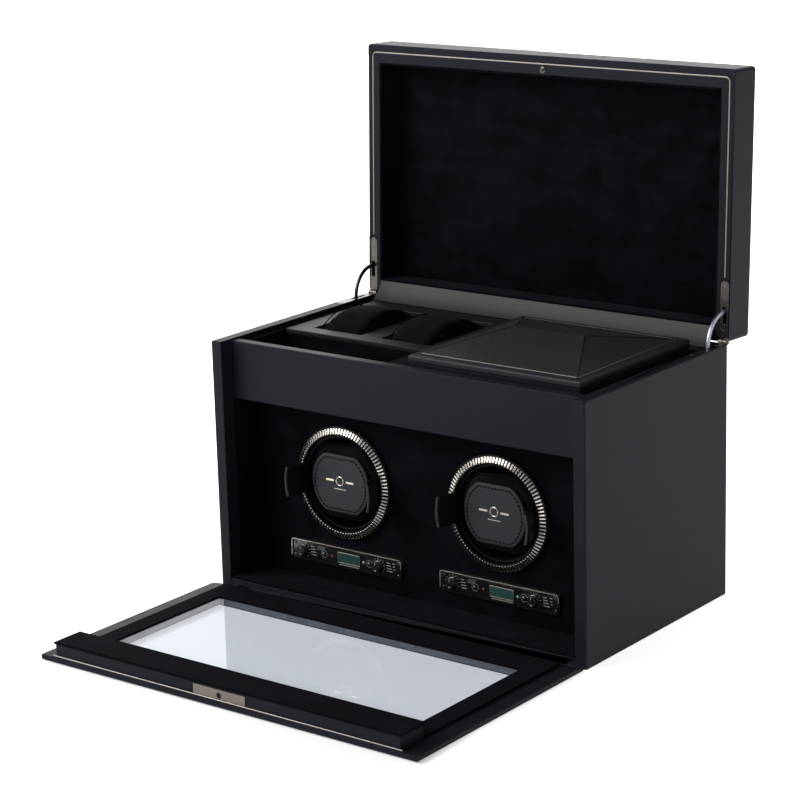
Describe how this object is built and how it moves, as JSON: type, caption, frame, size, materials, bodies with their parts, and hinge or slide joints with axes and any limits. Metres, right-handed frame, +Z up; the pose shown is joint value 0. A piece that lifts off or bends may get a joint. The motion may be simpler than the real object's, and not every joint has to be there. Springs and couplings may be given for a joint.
{
  "type": "watch winder box",
  "caption": "Leather-covered watch winder box with a hinged lid, a fold-down glazed door, rotating cuff drums, a storage tray and a lift-out travel case.",
  "frame": {"origin": "centre of the case's bottom face, where it stands", "axes": "+X to the right seen from the front, +Y to the back, +Z up; the door opens towards -Y"},
  "size_m": [0.362, 0.4611, 0.4246],
  "materials": {
    "leather": "smooth grained leather over board",
    "pebble": "pebbled leather",
    "suede": "dark suede lining",
    "cushion": "suede over foam",
    "ring_metal": "polished knurled metal",
    "gunmetal": "satin gunmetal",
    "steel": "satin steel",
    "brass": "plain",
    "piping": "metallic piping cord",
    "black_gloss": "polished black",
    "black_matte": "matte black",
    "nylon": "moulded nylon",
    "motor_can": "plated can",
    "lcd": "dark teal display",
    "board": "green circuit board",
    "red": "red lens",
    "green": "green lens",
    "glass": "clear"
  },
  "bodies": {
    "case": {"case_side_left": "leather", "case_side_right": "leather", "case_back": "leather", "case_base": "leather", "fascia_rail": "leather", "tray_shelf": "suede", "winder_panel": "suede", "floor_lining": "suede", "wall_linings": "suede", "tray_plate": "leather", "tray_walls": "suede", "dc_inlet": "black_matte", "case_hinge_leaves": "steel", "door_hinge_leaves": "steel", "bezel_rings": "ring_metal", "motors": "motor_can", "motor_brackets": "black_matte", "control_plates": "black_gloss", "plate_screws": "steel", "lcd_windows": "lcd", "circuit_boards": "board", "lamps_red": "red", "lamps_green": "green"},
    "lid": {"lid_shell": "leather", "lid_lining": "suede", "lid_piping": "piping", "lid_catch_pin": "steel", "lid_hinge_leaves": "gunmetal", "lid_hinge_pins": "steel"},
    "door": {"door_board": "leather", "door_frame": "suede", "door_block": "leather", "door_glass": "glass", "door_piping": "piping", "door_catch_plate": "gunmetal", "door_hinge_pins": "steel"},
    "travel_case": {"travel_case_body": "leather"},
    "travel_lid": {"travel_case_lid": "pebble"},
    "storage_pillow_left": {"storage_pillow_left": "cushion"},
    "storage_pillow_right": {"storage_pillow_right": "cushion"},
    "rotor_left": {"drum_left": "black_matte", "drum_gear_left": "nylon"},
    "pinion_left": {"pinion_left": "brass"},
    "cuff_left": {"cuff_left": "cushion", "cuff_patch_left": "leather"},
    "knob_a_left": {"knob_a_left": "black_gloss"},
    "button_a_left": {"button_a_left": "steel"},
    "knob_b_left": {"knob_b_left": "black_gloss"},
    "button_b_left": {"button_b_left": "steel"},
    "stay_left": {"stay_left": "gunmetal"},
    "rotor_right": {"drum_right": "black_matte", "drum_gear_right": "nylon"},
    "pinion_right": {"pinion_right": "brass"},
    "cuff_right": {"cuff_right": "cushion", "cuff_patch_right": "leather"},
    "knob_a_right": {"knob_a_right": "black_gloss"},
    "button_a_right": {"button_a_right": "steel"},
    "knob_b_right": {"knob_b_right": "black_gloss"},
    "button_b_right": {"button_b_right": "steel"},
    "stay_right": {"stay_right": "gunmetal"}
  },
  "joints": [
    {"name": "lid_hinge", "type": "hinge", "parent": "case", "child": "lid", "pos_m": [0, 0.1056, 0.2092], "axis": [-1, 0, 0], "range_deg": [-92.2, 0]},
    {"name": "door_hinge", "type": "hinge", "parent": "case", "child": "door", "pos_m": [0, -0.1069, 0.0016], "axis": [1, 0, 0], "range_deg": [-90, 0]},
    {"name": "drum_spin_left", "type": "hinge", "parent": "case", "child": "rotor_left", "pos_m": [-0.0762, -0.043, 0.096], "axis": [0, 1, 0], "continuous": true},
    {"name": "pinion_spin_left", "type": "hinge", "parent": "case", "child": "pinion_left", "pos_m": [-0.0762, -0.001, 0.06], "axis": [0, 1, 0], "continuous": true},
    {"name": "cuff_pull_left", "type": "slide", "parent": "rotor_left", "child": "cuff_left", "axis": [0, -1, 0], "range_m": [0, 0.06]},
    {"name": "knob_a_left_turn", "type": "hinge", "parent": "case", "child": "knob_a_left", "pos_m": [-0.1212, -0.069, 0.03125], "axis": [0, 1, 0], "range_deg": [-135, 135]},
    {"name": "button_a_left_press", "type": "slide", "parent": "case", "child": "button_a_left", "axis": [0, 1, 0], "range_m": [0, 0.001], "stiffness_N_per_m": 150},
    {"name": "knob_b_left_turn", "type": "hinge", "parent": "case", "child": "knob_b_left", "pos_m": [-0.0432, -0.069, 0.03125], "axis": [0, 1, 0], "range_deg": [-135, 135]},
    {"name": "button_b_left_press", "type": "slide", "parent": "case", "child": "button_b_left", "axis": [0, 1, 0], "range_m": [0, 0.001], "stiffness_N_per_m": 150},
    {"name": "stay_left_swing", "type": "hinge", "parent": "lid", "child": "stay_left", "pos_m": [-0.1757, 0.10984, 0.23323], "axis": [-1, 0, 0], "range_deg": [0, 20.5]},
    {"name": "storage_pillow_left_lift", "type": "slide", "parent": "case", "child": "storage_pillow_left", "axis": [0, 0, 1], "range_m": [0, 0.06]},
    {"name": "drum_spin_right", "type": "hinge", "parent": "case", "child": "rotor_right", "pos_m": [0.0762, -0.043, 0.096], "axis": [0, 1, 0], "continuous": true},
    {"name": "pinion_spin_right", "type": "hinge", "parent": "case", "child": "pinion_right", "pos_m": [0.0762, -0.001, 0.06], "axis": [0, 1, 0], "continuous": true},
    {"name": "cuff_pull_right", "type": "slide", "parent": "rotor_right", "child": "cuff_right", "axis": [0, -1, 0], "range_m": [0, 0.06]},
    {"name": "knob_a_right_turn", "type": "hinge", "parent": "case", "child": "knob_a_right", "pos_m": [0.0312, -0.069, 0.03125], "axis": [0, 1, 0], "range_deg": [-135, 135]},
    {"name": "button_a_right_press", "type": "slide", "parent": "case", "child": "button_a_right", "axis": [0, 1, 0], "range_m": [0, 0.001], "stiffness_N_per_m": 150},
    {"name": "knob_b_right_turn", "type": "hinge", "parent": "case", "child": "knob_b_right", "pos_m": [0.1092, -0.069, 0.03125], "axis": [0, 1, 0], "range_deg": [-135, 135]},
    {"name": "button_b_right_press", "type": "slide", "parent": "case", "child": "button_b_right", "axis": [0, 1, 0], "range_m": [0, 0.001], "stiffness_N_per_m": 150},
    {"name": "stay_right_swing", "type": "hinge", "parent": "lid", "child": "stay_right", "pos_m": [0.1757, 0.10984, 0.23323], "axis": [-1, 0, 0], "range_deg": [0, 20.5]},
    {"name": "storage_pillow_right_lift", "type": "slide", "parent": "case", "child": "storage_pillow_right", "axis": [0, 0, 1], "range_m": [0, 0.06]},
    {"name": "travel_case_lift", "type": "slide", "parent": "case", "child": "travel_case", "axis": [0, 0, 1], "range_m": [0, 0.06]},
    {"name": "travel_lid_hinge", "type": "hinge", "parent": "travel_case", "child": "travel_lid", "pos_m": [0.0775, 0.0842, 0.2089], "axis": [-1, 0, 0], "range_deg": [0, 90]}
  ],
  "couplings": [
    {"joint": "pinion_spin_left", "follows": "drum_spin_left", "ratio": -5},
    {"joint": "stay_left_swing", "follows": "lid_hinge", "ratio": -0.22},
    {"joint": "pinion_spin_right", "follows": "drum_spin_right", "ratio": -5},
    {"joint": "stay_right_swing", "follows": "lid_hinge", "ratio": -0.22}
  ]
}
